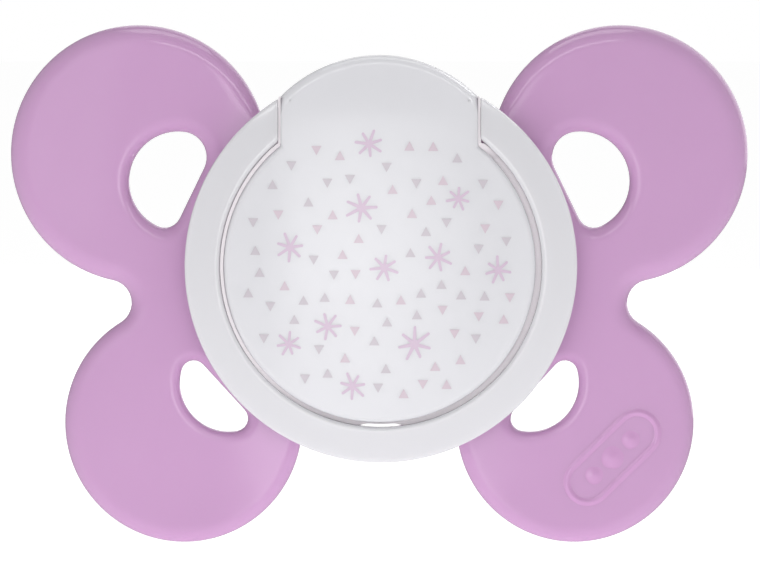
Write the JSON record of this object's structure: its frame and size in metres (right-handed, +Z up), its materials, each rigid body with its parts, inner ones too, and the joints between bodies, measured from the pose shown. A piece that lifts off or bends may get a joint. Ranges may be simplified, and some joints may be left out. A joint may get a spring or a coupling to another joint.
{
  "type": "pacifier",
  "caption": "Baby pacifier with a vented butterfly mouth shield, a hollow soft teat, a round front knob and a folding ring hinged beside its crown.",
  "frame": {"origin": "on the teat's axis, in the plane of the shield's flat rear face, where the lips close round the neck", "axes": "+Z up towards the crown and the nose, +Y along the teat into the mouth, +X to the right seen from the front"},
  "size_m": [0.0582, 0.035, 0.0407],
  "materials": {
    "lilac_plastic": "glossy",
    "milky_plastic": "glossy",
    "ring_plastic": "glossy",
    "white_plastic": "satin",
    "silicone": "satin"
  },
  "bodies": {
    "main": {"shield": "lilac_plastic", "front_cover": "milky_plastic", "knob_base": "white_plastic", "teat_plug": "white_plastic", "teat": "silicone"},
    "ring": {"ring": "ring_plastic"}
  },
  "joints": [
    {"name": "ring_hinge", "type": "hinge", "parent": "main", "child": "ring", "pos_m": [0, -0.00485, 0.0115], "axis": [-1, 0, 0], "range_deg": [0, 180]}
  ]
}
